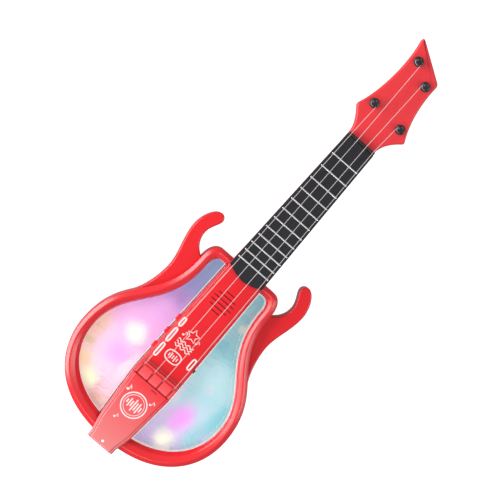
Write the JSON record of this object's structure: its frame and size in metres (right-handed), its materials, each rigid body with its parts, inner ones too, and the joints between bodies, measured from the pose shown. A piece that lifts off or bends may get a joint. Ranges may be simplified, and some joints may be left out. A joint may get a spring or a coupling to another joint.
{
  "type": "toy electric guitar",
  "caption": "Small toy electric guitar with two curled horns, light-up windows beside a centre control strip, a fretted neck, friction tuners and side buttons.",
  "frame": {"origin": "under the middle of the whole guitar, on the plane of its flat back", "axes": "+Z out of the front face, +Y up the neck to the headstock, +X to the guitar's right seen from the front"},
  "size_m": [0.1972, 0.5412, 0.0469],
  "materials": {
    "shell_red": "gloss moulded",
    "frame_red": "high gloss moulded",
    "deck_red": "gloss moulded",
    "neck_red": "satin moulded",
    "button_red": "gloss moulded",
    "window_clear": "clear polished plastic",
    "film_pink": "pearly printed film",
    "film_aqua": "pearly printed film",
    "fretboard_black": "fine grained satin",
    "fret_silver": "bright",
    "string_nylon": "smooth nylon",
    "tuner_black": "gloss moulded",
    "speaker_black": "matte moulded",
    "board_green": "solder resist",
    "battery_jacket": "printed sleeve, no lettering",
    "contact_steel": "plated"
  },
  "bodies": {
    "guitar": {"back_shell": "shell_red", "front_frame": "frame_red", "control_deck": "deck_red", "tail_plate": "deck_red", "bridge": "deck_red", "neck": "neck_red", "left_window": "window_clear", "right_window": "window_clear", "left_light_film": "film_pink", "right_light_film": "film_aqua", "fretboard": "fretboard_black", "nut": "fretboard_black", "fret_01": "fret_silver", "fret_02": "fret_silver", "fret_03": "fret_silver", "fret_04": "fret_silver", "fret_05": "fret_silver", "fret_06": "fret_silver", "fret_07": "fret_silver", "fret_08": "fret_silver", "fret_09": "fret_silver", "fret_10": "fret_silver", "fret_11": "fret_silver", "fret_12": "fret_silver", "string_1": "string_nylon", "string_2": "string_nylon", "string_3": "string_nylon", "string_4": "string_nylon", "tuner_bushing_1": "tuner_black", "tuner_bushing_2": "tuner_black", "tuner_bushing_3": "tuner_black", "tuner_bushing_4": "tuner_black", "speaker": "speaker_black", "battery_box": "speaker_black", "main_board": "board_green", "left_led_board": "board_green", "right_led_board": "board_green", "battery_1": "battery_jacket", "battery_2": "battery_jacket", "battery_3": "battery_jacket", "battery_contact_upper": "contact_steel", "battery_contact_lower": "contact_steel", "shell_screw_left_low": "contact_steel", "shell_screw_left_side": "contact_steel", "shell_screw_left_high": "contact_steel", "shell_screw_right_low": "contact_steel", "shell_screw_right_side": "contact_steel", "shell_screw_right_high": "contact_steel", "neck_screw_left": "contact_steel", "neck_screw_right": "contact_steel"},
    "tuner_1": {"tuner_peg_1": "tuner_black"},
    "tuner_2": {"tuner_peg_2": "tuner_black"},
    "tuner_3": {"tuner_peg_3": "tuner_black"},
    "tuner_4": {"tuner_peg_4": "tuner_black"},
    "button_1": {"side_button_1": "button_red"},
    "button_2": {"side_button_2": "button_red"},
    "button_3": {"side_button_3": "button_red"},
    "switch": {"power_switch": "tuner_black"},
    "door": {"battery_door": "shell_red", "battery_door_screw": "contact_steel"}
  },
  "joints": [
    {"name": "tuner_1_turn", "type": "hinge", "parent": "guitar", "child": "tuner_1", "pos_m": [-0.0172, 0.18563, 0.03], "axis": [0, 0, 1], "continuous": true},
    {"name": "tuner_2_turn", "type": "hinge", "parent": "guitar", "child": "tuner_2", "pos_m": [-0.0105, 0.24833, 0.03], "axis": [0, 0, 1], "continuous": true},
    {"name": "tuner_3_turn", "type": "hinge", "parent": "guitar", "child": "tuner_3", "pos_m": [0.012, 0.23313, 0.03], "axis": [0, 0, 1], "continuous": true},
    {"name": "tuner_4_turn", "type": "hinge", "parent": "guitar", "child": "tuner_4", "pos_m": [0.0214, 0.18243, 0.03], "axis": [0, 0, 1], "continuous": true},
    {"name": "button_1_press", "type": "slide", "parent": "guitar", "child": "button_1", "axis": [1, 0, 0], "range_m": [0, 0.001], "stiffness_N_per_m": 300},
    {"name": "button_2_press", "type": "slide", "parent": "guitar", "child": "button_2", "axis": [1, 0, 0], "range_m": [0, 0.001], "stiffness_N_per_m": 300},
    {"name": "button_3_press", "type": "slide", "parent": "guitar", "child": "button_3", "axis": [1, 0, 0], "range_m": [0, 0.001], "stiffness_N_per_m": 300},
    {"name": "switch_slide", "type": "slide", "parent": "guitar", "child": "switch", "axis": [0, 1, 0], "range_m": [0, 0.004]},
    {"name": "door_lift_off", "type": "slide", "parent": "guitar", "child": "door", "axis": [0, 0, -1], "range_m": [0, 0.03]}
  ]
}
